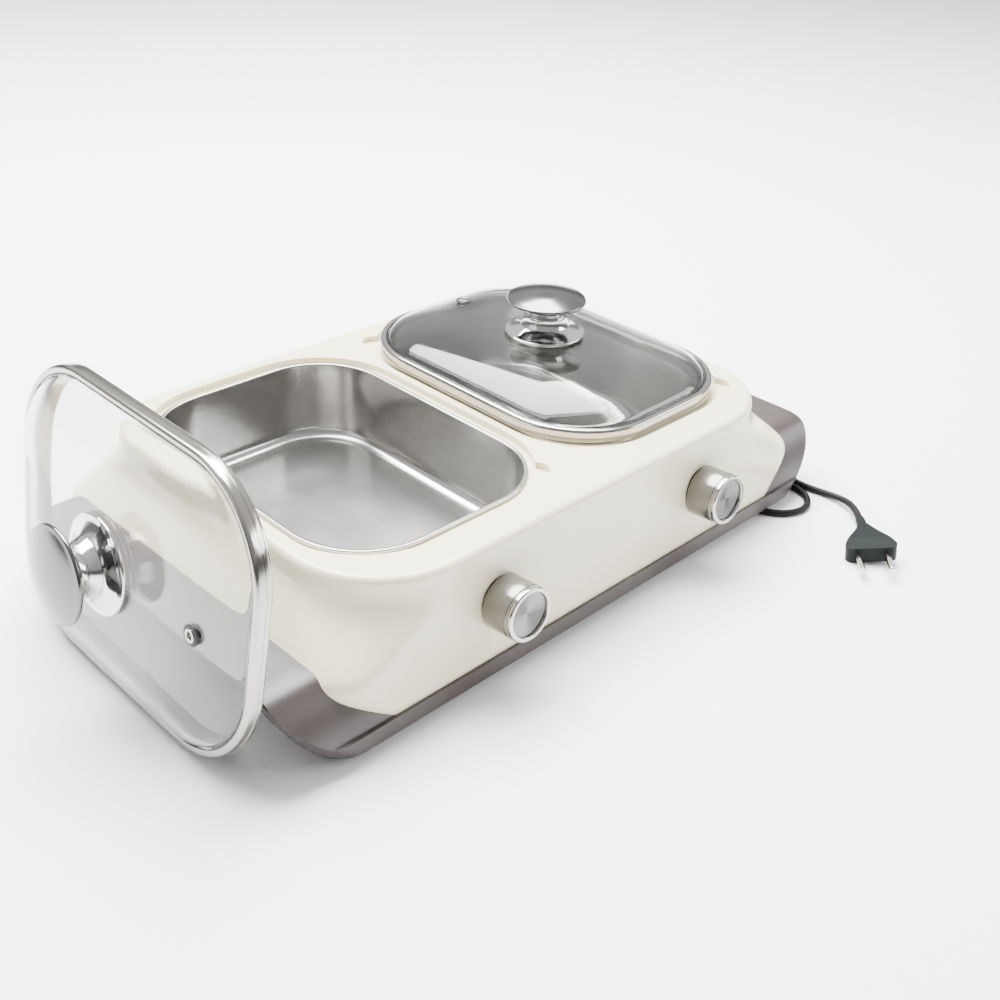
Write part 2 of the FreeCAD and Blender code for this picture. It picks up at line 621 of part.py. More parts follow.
def lid_knob_washer():
    base = glass_crown()
    inner, outer = LID_SCREW_RADIUS, LID_WASHER_RADIUS
    return turned([(inner, base), (outer, base), (outer, base + 1.0), (inner, base + 1.0)])


def lid_knob_flange():
    """The round plate between the glass and the lid's knob."""
    base = glass_crown() + 1.0
    edge, inner = LID_FLANGE_RADIUS, LID_SCREW_RADIUS
    outline = [(inner, base), (edge - 1.0, base), ((edge, base + 0.9), (edge - 1.0, base + 1.8)),
               ((22.8, base + 3.2), (LID_NECK_RADIUS, base + LID_FLANGE_HEIGHT)),
               (inner, base + LID_FLANGE_HEIGHT)]
    return turned(outline)


def lid_knob_neck():
    base = glass_crown() + 1.0 + LID_FLANGE_HEIGHT
    top = LID_KNOB_HEIGHT - 4.0
    inner, outer = LID_SCREW_RADIUS, LID_NECK_RADIUS
    outline = [(inner, base), (outer, base), ((outer - 2.2, (base + top) / 2), (outer, top)),
               (inner, top)]
    return turned(outline)


def lid_knob_cap():
    """The broad gently domed disc that the hand takes."""
    low = LID_KNOB_HEIGHT - 4.0
    edge = LID_KNOB_RADIUS
    outline = [(0, low), (LID_NECK_RADIUS, low), ((22.8, low + 0.4), (edge - 1.2, low + 1.4)),
               ((edge, low + 2.6), (edge - 0.8, low + 4.0)), crown(edge - 0.8, low + 4.0, low + 8.6)]
    cap = turned(outline)
    return cap.cut(cylinder((0, 0, low - 1), LID_SCREW_RADIUS, 4.0))


def lid_knob_screw():
    """Screw from under the glass through washer, flange and neck into the cap."""
    seat = glass_crown() - GLASS
    top = LID_KNOB_HEIGHT - 1.2
    outline = [(0, seat - 2.6), (3.4, seat - 2.6), ((5.0, seat - 1.8), (5.6, seat - 0.2)),
               (5.6, seat), (3.0, seat), (3.0, top), (0, top)]
    screw = turned(outline)
    slot = box((-3.4, -0.5, seat - 4), (3.4, 0.5, seat - 1.6))
    return screw.cut(slot)


def vent_spot(vent_side):
    return Vector(0, vent_side * VENT_OFFSET, GLASS + 11.4 + 0.9)


def vent_grommet(vent_side):
    """A soft ring clipped in the steam hole."""
    waist = VENT_RADIUS - 1.7
    outline = [(3.0, -4.6), (waist + 1.2, -4.6), (waist, -3.6), (waist, 0.4), (VENT_RADIUS, 0.4),
               ((VENT_RADIUS + 0.1, 1.4), (VENT_RADIUS - 1.2, 2.0)), (3.0, 2.0)]
    return turned(outline).translated(vent_spot(vent_side))


def vent_eyelet(vent_side):
    """A bright metal eyelet inside the grommet."""
    outline = [(2.2, -5.2), (3.0, -5.2), (3.0, 2.0), (4.2, 2.0), ((4.0, 2.5), (3.4, 2.6)), (2.2, 2.4)]
    return turned(outline).translated(vent_spot(vent_side))


def lid_pieces(vent_side):
    grommet, eyelet = vent_grommet(vent_side), vent_eyelet(vent_side)
    glass = lid_glass(vent_side).cut(grommet).cut(eyelet)
    return {"glass": largest(glass), "rim": lid_rim(), "knob_washer": lid_knob_washer(),
            "knob_flange": lid_knob_flange(), "knob_neck": lid_knob_neck(),
            "knob_cap": lid_knob_cap(), "knob_screw": lid_knob_screw(),
            "vent_grommet": grommet, "vent_eyelet": eyelet}


def seated(shape):
    return shape.translated(Vector(WELL_X, WELL_Y, LID_RIM_PLANE))


def leaning(shape):
    """The left lid stands on its rim against the left wing, knob outward."""
    angle = math.radians(LEAN_ANGLE)
    up = Vector(math.cos(angle), 0, math.sin(angle))
    along = Vector(0, 1, 0)
    outward = up.cross(along)
    height = LEAN_Z_CLEAR + LID_RIM[0] * up.z + LID_RIM_HALF_HEIGHT * outward.z
    reach = (WING_TOP - height + LOCATING_DEPTH * outward.z) / up.z
    touch_x = reach * up.x - LOCATING_DEPTH * outward.x
    origin = Vector(-WING_HALF_X - LEAN_GAP - touch_x, LEAN_Y, height)
    return placed(shape, origin, up, along, outward)


# ---- electrical pieces and mains lead --------------------------------------------------
def terminal_block():
    block = box((*BLOCK_LOW, LEDGE[0]), (*BLOCK_HIGH, LEDGE[0] + BLOCK_HEIGHT))
    for row in range(4):
        y = BLOCK_LOW[1] + 6 + BLOCK_PITCH * row
        for x in (BLOCK_LOW[0] / 2, BLOCK_HIGH[0] / 2):
            block = block.cut(cylinder((x, y, LEDGE[0] + 6), 1.8, 10))
    return block


def thermal_fuse():
    """A small cartridge clipped to the front of the left well liner."""
    y = WELL_Y - LINER[1] - FUSE_RADIUS - 0.1
    return cylinder((FUSE_X, y, 50), FUSE_RADIUS, FUSE_LENGTH, (1, 0, 0))


def internal_lead():
    """The lead's own end inside the housing, from the gland to the terminal block."""
    return tube(INTERNAL_ROUTE, CORD_DIAMETER / 2)


def internal_wiring():
    """Insulated wires from the terminal block to the two thermostats."""
    wires = []
    for side in (-1, 1):
        wires.append(tube([(side * x, y, z) for x, y, z in WIRE_ROUTE], WIRE_RADIUS))
    return Part.makeCompound(wires)


def cord_gland():
    """A soft gland through the back wall, drawn out into a tapered sleeve."""
    radius = CORD_DIAMETER / 2
    outline = [(radius, -8.6), (7.6, -8.6), (7.6, -4.0), (6.0, -4.0), (6.0, 0.6), (8.6, 0.6),
               ((8.8, 1.8), (7.6, 3.0)), (6.2, 3.4), (3.6, GLAND_LENGTH), (radius, GLAND_LENGTH)]
    sleeve = turned(outline)
    return placed(sleeve, Vector(*GLAND), Vector(1, 0, 0), Vector(0, 0, -1), Vector(0, 1, 0))


def cord_coil():
    """The outer shape of the stored turns."""
    radius = CORD_DIAMETER / 2
    low, high = 0.0, COIL_LAYERS * CORD_DIAMETER
    inner, outer = COIL_INNER - radius, COIL_OUTER + radius
    outline = [(inner, low + 1), (inner + 1, low), (outer - 1, low), (outer, low + 1),
               (outer, high - 1), (outer - 1, high), (inner + 1, high), (inner, high - 1)]
    return turned(outline).translated(Vector(*COIL_CENTRE, 0))


def plug_place(shape):
    """A shape built along the plug's own axis, laid on the table at the end of the lead."""
    along = Vector(*PLUG_AXIS, 0).normalize()
    level = Vector(0, 0, 1).cross(along)
    roll = math.radians(PLUG_ROLL)
    across = level * math.cos(roll) + Vector(0, 0, 1) * -math.sin(roll)
    end = Vector(*LEAD_ROUTE[-1])
    return placed(shape, end, across, along.cross(across), along)


def plug_body():
    """A flat fan-shaped body that narrows to a ribbed neck."""
    half, thick = PLUG_HALF_WIDTH, PLUG_HALF_THICKNESS
    top = PLUG_NECK + PLUG_BODY
    right = [Vector(3.6, 0, PLUG_NECK), Vector(6.0, 0, PLUG_NECK + 6), Vector(12.5, 0, PLUG_NECK + 17),
             Vector(half, 0, top - 7)]
    flank = Part.BSplineCurve()
    flank.interpolate(right)
    left = Part.BSplineCurve()
    left.interpolate([Vector(-p.x, 0, p.z) for p in right])
    corner = Part.Arc(right[-1], Vector(half - 0.9, 0, top - 1.8), Vector(half - 4, 0, top)).toShape()
    mirror = Part.Arc(Vector(-half, 0, top - 7), Vector(-half + 0.9, 0, top - 1.8),
                      Vector(-half + 4, 0, top)).toShape()
    edges = [flank.toShape(), corner, Part.makeLine(Vector(half - 4, 0, top), Vector(4 - half, 0, top)),
             mirror, left.toShape(), Part.makeLine(Vector(-3.6, 0, PLUG_NECK), Vector(3.6, 0, PLUG_NECK))]
    face = Part.Face(Part.Wire(Part.__sortEdges__(edges)))
    fan = face.extrude(Vector(0, 2 * thick, 0)).translated(Vector(0, -thick, 0))
    wedge_side = Part.makePolygon([Vector(0, -thick, top + 1), Vector(0, thick, top + 1),
                                   Vector(0, thick, top - 14), Vector(0, 3.8, PLUG_NECK - 1),
                                   Vector(0, -3.8, PLUG_NECK - 1), Vector(0, -thick, top - 14),
                                   Vector(0, -thick, top + 1)])
    wedge = Part.Face(wedge_side).extrude(Vector(60, 0, 0)).translated(Vector(-30, 0, 0))
    neck = Part.makeCone(CORD_DIAMETER / 2 + 0.7, 4.4, PLUG_NECK + 4)
    body = fan.common(wedge).fuse(neck)
    for side in (-1, 1):
        body = body.cut(cylinder((side * PIN_SPACING / 2, 0, top - PIN_ROOT), PIN_RADIUS, 20))
    return plug_place(largest(body))


def plug_pins():
    """Two round pins with rounded ends."""
    base = PLUG_NECK + PLUG_BODY - PIN_ROOT
    tip = PLUG_NECK + PLUG_BODY + PIN_LENGTH
    r = PIN_RADIUS
    pin = turned([(0, base), (r, base), (r, tip - 1.2), ((r - 0.4, tip - 0.35), (r - 1.2, tip)), (0, tip)])
    pins = [plug_place(pin.translated(Vector(side * PIN_SPACING / 2, 0, 0))) for side in (-1, 1)]
    return Part.makeCompound(pins)


# ---- all nodes -------------------------------------------------------------------------
def build():
    nodes = {"base_tray": base_tray(), "upper_housing": upper_housing(),
             "bottom_plate": bottom_plate(), "rubber_feet": rubber_feet(),
             "bottom_screws": bottom_screws(), "element_bushings": element_bushings(),
             "terminal_block": terminal_block(), "thermal_fuse": thermal_fuse(),
             "internal_lead": internal_lead(), "internal_wiring": internal_wiring(),
             "cord_gland": cord_gland(), "cord_coil": cord_coil(),
             "plug_body": plug_body(), "plug_pins": plug_pins()}
    radius = CORD_DIAMETER / 2
    nodes["cord_gland"] = largest(nodes["cord_gland"].cut(nodes["upper_housing"]))
    nodes["cord_tail"] = largest(tube(TAIL_ROUTE, radius).cut(nodes["cord_coil"]))
    free_lead = tube(LEAD_ROUTE, radius)
    nodes["cord_coil"] = largest(nodes["cord_coil"].cut(free_lead))
    nodes["cord_lead"] = largest(free_lead.cut(nodes["plug_body"]))
    for name, side in (("left", -1), ("right", 1)):
        nodes["well_liner_" + name] = well_liner(side)
        nodes["heating_element_" + name] = heating_element(side)
        nodes["insulation_pad_" + name] = insulation_pad(side)
        nodes["pan_" + name] = pan(side)
        nodes["thermostat_" + name] = knob_part(thermostat(), side)
        nodes["thermostat_nut_" + name] = knob_part(thermostat_nut(), side)
        bezel = knob_part(knob_bezel(), side).cut(nodes["upper_housing"])
        nodes["knob_bezel_" + name] = largest(bezel)
        nodes["knob_body_" + name] = knob_part(knob_body(), side)
        nodes["knob_ring_" + name] = knob_part(knob_ring(), side)
        nodes["knob_dish_" + name] = knob_part(knob_dish(), side)
        nodes["knob_shaft_" + name] = knob_part(knob_shaft(), side)
    for name, vent_side, pose in (("left", -1, leaning), ("right", 1, seated)):
        for piece, shape in lid_pieces(vent_side).items():
            nodes["lid_" + piece + "_" + name] = pose(shape)
    return nodes


def main():
    os.makedirs("parts", exist_ok=True)
    for name, shape in build().items():
        shape.exportStep("parts/" + name + ".step")
        size = shape.optimalBoundingBox(False)
        print(name, "solids", len(shape.Solids), "valid", shape.isValid(), "volume",
              round(shape.Volume), "x", round(size.XMin, 1), round(size.XMax, 1), "y",
              round(size.YMin, 1), round(size.YMax, 1), "z", round(size.ZMin, 2), round(size.ZMax, 2))


main()
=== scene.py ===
import json
import math

import bmesh
import bpy
from mathutils import Matrix, Vector


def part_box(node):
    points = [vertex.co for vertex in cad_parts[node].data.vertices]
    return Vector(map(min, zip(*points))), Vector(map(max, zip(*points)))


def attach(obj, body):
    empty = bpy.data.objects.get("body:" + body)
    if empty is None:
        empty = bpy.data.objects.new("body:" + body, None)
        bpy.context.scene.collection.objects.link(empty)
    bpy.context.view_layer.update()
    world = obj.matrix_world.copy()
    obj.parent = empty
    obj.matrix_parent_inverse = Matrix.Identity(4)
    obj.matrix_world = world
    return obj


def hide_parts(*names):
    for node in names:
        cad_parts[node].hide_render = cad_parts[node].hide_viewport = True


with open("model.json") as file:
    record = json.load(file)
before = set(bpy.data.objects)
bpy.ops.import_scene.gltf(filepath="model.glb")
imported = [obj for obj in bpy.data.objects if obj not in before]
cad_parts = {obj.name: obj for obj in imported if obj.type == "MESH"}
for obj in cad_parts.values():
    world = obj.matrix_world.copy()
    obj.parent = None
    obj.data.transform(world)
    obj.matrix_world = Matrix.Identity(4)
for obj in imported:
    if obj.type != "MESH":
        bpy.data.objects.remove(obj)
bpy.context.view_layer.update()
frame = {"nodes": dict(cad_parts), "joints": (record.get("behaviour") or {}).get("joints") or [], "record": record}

MM = 0.001

# ---- driving sizes, in millimetres ------------------------------------------------------
CORD_DIAMETER = 5.0
COIL_CENTRE = (80.0, 186.0)
COIL_INNER = 25.0
COIL_OUTER = 30.1
COIL_LOW = 2.5
COIL_HIGH = 7.65
COIL_TOP = 12.7
COIL_TURNS = 4.25
COIL_STEPS = 18                # points on one turn
COIL_LEVEL_SHARE = 0.72        # of a turn, before it crosses to the next place in the coil
GLAND_TAIL = [(-30.0, 171.6, 38.0), (-29.0, 188.0, 36.5), (-20.0, 206.0, 29.0),
              (-2.0, 217.0, 19.0), (20.0, 219.5, 9.5), (40.0, 215.0, 3.5), (59.0, 215.6, 2.5)]
FREE_LEAD = [(109.8, 172.0, 11.4), (109.2, 158.0, 4.8), (110.5, 144.0, 2.6), (115.0, 116.0, 2.5),
             (130.0, 62.0, 2.5), (127.0, 4.0, 2.5), (138.0, -48.0, 2.5), (158.0, -90.0, 2.5),
             (170.0, -117.0, 2.5), (174.0, -138.0, 2.5), (185.0, -156.0, 2.5),
             (205.0, -163.0, 2.5), (223.0, -151.0, 2.5), (225.0, -128.0, 2.5),
             (217.0, -105.0, 2.5), (205.0, -84.0, 2.5), (205.0, -65.9, 2.5),
             (217.9, -53.0, 2.5), (236.1, -53.0, 2.5), (249.0, -65.9, 2.5),
             (249.0, -84.1, 2.5), (243.0, -105.0, 2.5), (233.0, -123.0, 2.5),
             (231.0, -144.0, 2.5), (235.0, -162.0, 2.8), (232.5, -178.0, 5.4),
             (223.5, -190.5, 7.8), (213.0, -200.4, 8.15)]
GLAND_LENGTH = 30.0
GLAND_RIBS = 7
LOOP_STEPS = 20                # points on one rounded corner
TURN_STEPS = 96                # points round a turned piece
AXIS_HOLE = 0.02               # radius left at the axis of a turned piece

CAMERA_PLACE = (-495.6, -518.1, 458.9)
CAMERA_AZIMUTH = -46.41
CAMERA_ELEVATION = 31.59
CAMERA_ROLL = 2.99
CAMERA_LENS = 43.16
CAMERA_SENSOR = 36.0


def metres(point):
    return Vector(point) * MM


# ---- camera ----------------------------------------------------------------------------
def add_camera():
    azimuth, elevation = math.radians(CAMERA_AZIMUTH), math.radians(CAMERA_ELEVATION)
    roll = math.radians(CAMERA_ROLL)
    back = Vector((math.sin(azimuth) * math.cos(elevation), -math.cos(azimuth) * math.cos(elevation),
                   math.sin(elevation)))
    level = Vector((math.cos(azimuth), math.sin(azimuth), 0))
    upright = back.cross(level)
    right = level * math.cos(roll) + upright * math.sin(roll)
    up = upright * math.cos(roll) - level * math.sin(roll)
    data = bpy.data.cameras.new("camera")
    data.sensor_width = CAMERA_SENSOR
    data.lens = CAMERA_LENS
    data.clip_start, data.clip_end = 0.02, 50.0
    camera = bpy.data.objects.new("camera", data)
    turn = Matrix((right, up, back)).transposed().to_4x4()
    camera.matrix_world = Matrix.Translation(metres(CAMERA_PLACE)) @ turn
    bpy.context.scene.collection.objects.link(camera)
    bpy.context.scene.camera = camera


# ---- mains lead ------------------------------------------------------------------------
def eased(value):
    value = min(max(value, 0.0), 1.0)
    return value * value * (3 - 2 * value)


def coil_points():
    """Clockwise turns seen from above: outer and inner low, inner and outer high, then out."""
    slots = [(COIL_OUTER, COIL_LOW), (COIL_INNER, COIL_LOW), (COIL_INNER, COIL_HIGH),
             (COIL_OUTER, COIL_HIGH), (COIL_OUTER, COIL_TOP)]
    points = []
    for step in range(int(COIL_TURNS * COIL_STEPS) + 1):
        turn = step / COIL_STEPS
        here = min(int(turn), len(slots) - 1)
        following = min(here + 1, len(slots) - 1)
        share = eased((turn - here - COIL_LEVEL_SHARE) / (1 - COIL_LEVEL_SHARE))
        radius = slots[here][0] * (1 - share) + slots[following][0] * share
        height = slots[here][1] * (1 - share) + slots[following][1] * share
        angle = math.pi / 2 - turn * 2 * math.pi
        points.append((COIL_CENTRE[0] + radius * math.cos(angle),
                       COIL_CENTRE[1] + radius * math.sin(angle), height))
    return points


def add_cord():
    points = GLAND_TAIL + coil_points() + FREE_LEAD
    data = bpy.data.curves.new("cord", "CURVE")
    data.dimensions = "3D"
    data.bevel_depth = CORD_DIAMETER / 2 * MM
    data.bevel_resolution = 5
    data.resolution_u = 6
    data.use_fill_caps = True
    spline = data.splines.new("NURBS")
    spline.points.add(len(points) - 1)
    for control, point in zip(spline.points, points):
        control.co = (*metres(point), 1.0)
    spline.order_u = 3
    spline.use_endpoint_u = True
    cord = bpy.data.objects.new("cord", data)
    bpy.context.scene.collection.objects.link(cord)
    return cord, points


# ---- mesh helpers ----------------------------------------------------------------------
def finish_piece(name, mesh, body, material, place=None, sharp=35.0):
    """Links a piece, shades it smooth with crisp edges, and rides it on its body."""
    piece = bpy.data.objects.new(name, mesh)
    bpy.context.scene.collection.objects.link(piece)
    if place is not None:
        piece.matrix_world = place
    mesh.materials.append(material)
    mesh.shade_smooth()
    mesh.set_sharp_from_angle(angle=math.radians(sharp))
    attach(piece, body)
    return piece


def mesh_from(name, rings, ends):
    """A skin over rings of points; ends lists the pairs of rings closed by a flat face each."""
    bm = bmesh.new()
    skins = [[bm.verts.new(Vector(p) * MM) for p in ring] for ring in rings]
    for index, lower in enumerate(skins):
        upper = skins[(index + 1) % len(skins)]
        if index in ends:
            bm.faces.new(lower)
            bm.faces.new(upper)
            continue
        for i in range(len(lower)):
            j = (i + 1) % len(lower)
            bm.faces.new((lower[i], lower[j], upper[j], upper[i]))
    bmesh.ops.recalc_face_normals(bm, faces=bm.faces)
    mesh = bpy.data.meshes.new(name)
    bm.to_mesh(mesh)
    bm.free()
    return mesh


def arc(centre, radius, start, end, count=6):
    """Points of a round edge in an outline, angles in degrees."""
    points = []
    for step in range(count + 1):
        angle = math.radians(start + (end - start) * step / count)
        points.append((centre[0] + radius * math.cos(angle), centre[1] + radius * math.sin(angle)))
    return points


def turned_mesh(name, outline):
    """A body turned about Z from (radius, z) points; one that starts on the axis is closed there."""
    rings = []
    for radius, z in outline:
        reach = max(radius, AXIS_HOLE)
        ring = []
        for step in range(TURN_STEPS):
            angle = 2 * math.pi * step / TURN_STEPS
            ring.append((reach * math.cos(angle), reach * math.sin(angle), z))
        rings.append(ring)
    return mesh_from(name, rings, () if outline[0][0] > 0 else (len(rings) - 1,))


def rounded_ring(half_x, half_y, radius, z):
    ring = []
    for side_x, side_y, start in ((1, -1, -90), (1, 1, 0), (-1, 1, 90), (-1, -1, 180)):
        cx, cy = side_x * (half_x - radius), side_y * (half_y - radius)
        for step in range(LOOP_STEPS + 1):
            angle = math.radians(start + 90 * step / LOOP_STEPS)
            ring.append((cx + radius * math.cos(angle), cy + radius * math.sin(angle), z))
    return ring


def inset_rings(size, outline):
    """Rounded rectangles from (inset, z) points, their corners following the inset."""
    half_x, half_y, radius = size
    rings = []
    for inset, z in outline:
        corner = max(radius - inset, radius * (half_x - inset) / half_x * 0.93)
        rings.append(rounded_ring(half_x - inset, half_y - inset, corner, z))
    return rings


def lofted_mesh(name, size, outline):
    """A closed band round a rounded rectangle, from the (inset, z) points of its section."""
    return mesh_from(name, inset_rings(size, outline), ())


def skinned_mesh(name, size, inner, outer):
    """A sheet piece with two faces: inner runs to the middle and outer comes back from it."""
    return mesh_from(name, inset_rings(size, inner + outer), (len(inner) - 1,))


# ---- materials -------------------------------------------------------------------------
SOCKETS = {"metal": "Metallic", "rough": "Roughness", "coat": "Coat Weight",
           "coat_rough": "Coat Roughness", "ior": "IOR", "glassy": "Transmission Weight",
           "brushed": "Anisotropic", "sheen": "Sheen Weight",
           "specular": "Specular IOR Level"}


def new_material(name, colour, **values):
    material = bpy.data.materials.new(name)
    material.use_nodes = True
    tree = material.node_tree
    shader = tree.nodes["Principled BSDF"]
    shader.inputs["Base Color"].default_value = (*colour, 1.0)
    for key, value in values.items():
        shader.inputs[SOCKETS[key]].default_value = value
    material.diffuse_color = (*colour, 1.0)
    return material, tree, shader


def stretched(tree, scale):
    coordinates = tree.nodes.new("ShaderNodeTexCoord")
    mapping = tree.nodes.new("ShaderNodeMapping")
    mapping.inputs["Scale"].default_value = scale
    tree.links.new(coordinates.outputs["Object"], mapping.inputs["Vector"])
    return mapping.outputs["Vector"]


def noise(tree, vector, scale, detail=4.0, rough=0.55):
    texture = tree.nodes.new("ShaderNodeTexNoise")
    texture.inputs["Scale"].default_value = scale
    texture.inputs["Detail"].default_value = detail
    texture.inputs["Roughness"].default_value = rough
    tree.links.new(vector, texture.inputs["Vector"])
    return texture.outputs["Fac"]


def ramp(tree, value, low, high):
    """Colour between two tones, with most of the change in the middle of the noise."""
    node = tree.nodes.new("ShaderNodeValToRGB")
    node.color_ramp.elements[0].position, node.color_ramp.elements[1].position = 0.3, 0.7
    node.color_ramp.elements[0].color = (*low, 1.0)
    node.color_ramp.elements[1].color = (*high, 1.0)
    tree.links.new(value, node.inputs["Fac"])
    return node.outputs["Color"]


def spread(tree, value, low, high):
    node = tree.nodes.new("ShaderNodeMapRange")
    node.inputs["From Min"].default_value, node.inputs["From Max"].default_value = 0.3, 0.7
    node.inputs["To Min"].default_value, node.inputs["To Max"].default_value = low, high
    tree.links.new(value, node.inputs["Value"])
    return node.outputs["Result"]


def bump(tree, shader, value, strength, distance):
    node = tree.nodes.new("ShaderNodeBump")
    node.inputs["Strength"].default_value = strength
    node.inputs["Distance"].default_value = distance
    tree.links.new(value, node.inputs["Height"])
    tree.links.new(node.outputs["Normal"], shader.inputs["Normal"])


def tinted(colour, factor):
    return tuple(min(c * factor, 1.0) for c in colour)


def moulded(name, colour, rough, coat, grain_scale, grain, variation=0.03, **values):
    """Moulded plastic or rubber: faint mottling, an uneven gloss and a fine surface grain."""
    material, tree, shader = new_material(name, colour, rough=rough, coat=coat, **values)
    place = stretched(tree, (1, 1, 1))
    mottle = noise(tree, place, 14.0)
    tone = ramp(tree, mottle, tinted(colour, 1 - variation), tinted(colour, 1 + variation))
    tree.links.new(tone, shader.inputs["Base Color"])
    gloss = spread(tree, noise(tree, place, 30.0), rough * 0.85, rough * 1.15)
    tree.links.new(gloss, shader.inputs["Roughness"])
    bump(tree, shader, noise(tree, place, grain_scale, 2.0), grain, 0.0002)
    return material


def brushed_metal(name, colour, rough, stretch, strength=0.12, **values):
    """Steel or aluminium with fine lines along one direction and soft smears."""
    material, tree, shader = new_material(name, colour, metal=1.0, rough=rough, **values)
    lines = noise(tree, stretched(tree, stretch), 1.0, 3.0, 0.6)
    smears = noise(tree, stretched(tree, (1, 1, 1)), 9.0)
    tone = ramp(tree, lines, tinted(colour, 0.94), tinted(colour, 1.04))
    tree.links.new(tone, shader.inputs["Base Color"])
    tree.links.new(spread(tree, smears, rough * 0.8, rough * 1.2), shader.inputs["Roughness"])
    bump(tree, shader, lines, strength, 0.00005)
    return material


def paint_wedge_shade(tree, place, tone, dark):
    """Paints two opposite darker wedges of a disc into its colour: painted shade and painted reflection, as light
    falls on spun metal.
    """
    angle = tree.nodes.new("ShaderNodeTexGradient")
    angle.gradient_type = "RADIAL"
    tree.links.new(place, angle.inputs["Vector"])
    turns = tree.nodes.new("ShaderNodeMath")
    turns.operation = "MULTIPLY"
    turns.inputs[1].default_value = 4 * math.pi
    tree.links.new(angle.outputs["Fac"], turns.inputs[0])
    wave = tree.nodes.new("ShaderNodeMath")
    wave.operation = "SINE"
    tree.links.new(turns.outputs["Value"], wave.inputs[0])
    shade = tree.nodes.new("ShaderNodeVectorMath")
    shade.operation = "SCALE"
    tree.links.new(tone, shade.inputs[0])
    level = tree.nodes.new("ShaderNodeMapRange")
    level.interpolation_type = "SMOOTHSTEP"
    level.inputs["From Min"].default_value = -1.0
    level.inputs["To Min"].default_value = dark
    tree.links.new(wave.outputs["Value"], level.inputs["Value"])
    tree.links.new(level.outputs["Result"], shade.inputs["Scale"])
    return shade.outputs["Vector"]


def spun_metal(name, colour, rough, rings, painted_shade_level=1.0, **values):
    """Metal turned on a lathe: fine circles about the piece's own Z axis."""
    material, tree, shader = new_material(name, colour, metal=1.0, rough=rough, **values)
    coordinates = tree.nodes.new("ShaderNodeTexCoord")
    flat = tree.nodes.new("ShaderNodeVectorMath")
    flat.operation = "MULTIPLY"
    flat.inputs[1].default_value = (1, 1, 0)
    tree.links.new(coordinates.outputs["Object"], flat.inputs[0])
    radius = tree.nodes.new("ShaderNodeVectorMath")
    radius.operation = "LENGTH"
    tree.links.new(flat.outputs["Vector"], radius.inputs[0])
    circle = tree.nodes.new("ShaderNodeCombineXYZ")
    tree.links.new(radius.outputs["Value"], circle.inputs["X"])
    lines = noise(tree, circle.outputs["Vector"], rings, 3.0, 0.6)
    tone = ramp(tree, lines, tinted(colour, 0.9), tinted(colour, 1.06))
    # A level under 1 paints shade into the colour: two darker wedges stand in for light falling on the spun disc.
    if painted_shade_level < 1:
        tone = paint_wedge_shade(tree, coordinates.outputs["Object"], tone, painted_shade_level)
    tree.links.new(tone, shader.inputs["Base Color"])
    tree.links.new(spread(tree, lines, rough * 0.8, rough * 1.25), shader.inputs["Roughness"])
    tangent = tree.nodes.new("ShaderNodeTangent")
    tangent.direction_type, tangent.axis = "RADIAL", "Z"
    tree.links.new(tangent.outputs["Tangent"], shader.inputs["Tangent"])
    bump(tree, shader, lines, 0.1, 0.00004)
    return material


def clear_glass(name):
    """Toughened glass: clear, with a very faint waviness and a few soft wipe marks."""
    colour = (0.96, 0.985, 0.975)
    material, tree, shader = new_material(name, colour, rough=0.02, glassy=1.0, ior=1.46)
    place = stretched(tree, (1, 1, 1))
    tone = ramp(tree, noise(tree, place, 5.0), (0.95, 0.975, 0.965), (0.975, 0.99, 0.985))
    tree.links.new(tone, shader.inputs["Base Color"])
    tree.links.new(spread(tree, noise(tree, place, 12.0), 0.01, 0.045), shader.inputs["Roughness"])
    bump(tree, shader, noise(tree, place, 6.0, 1.0), 0.04, 0.0005)
    return material


def woven_mat(name):
    material, tree, shader = new_material(name, (0.86, 0.84, 0.78), rough=0.95, sheen=0.4)
    fibres = noise(tree, stretched(tree, (1, 1, 0.3)), 260.0, 6.0, 0.7)
    tone = ramp(tree, fibres, (0.74, 0.71, 0.64), (0.93, 0.91, 0.86))
    tree.links.new(tone, shader.inputs["Base Color"])
    bump(tree, shader, fibres, 0.6, 0.0006)
    return material


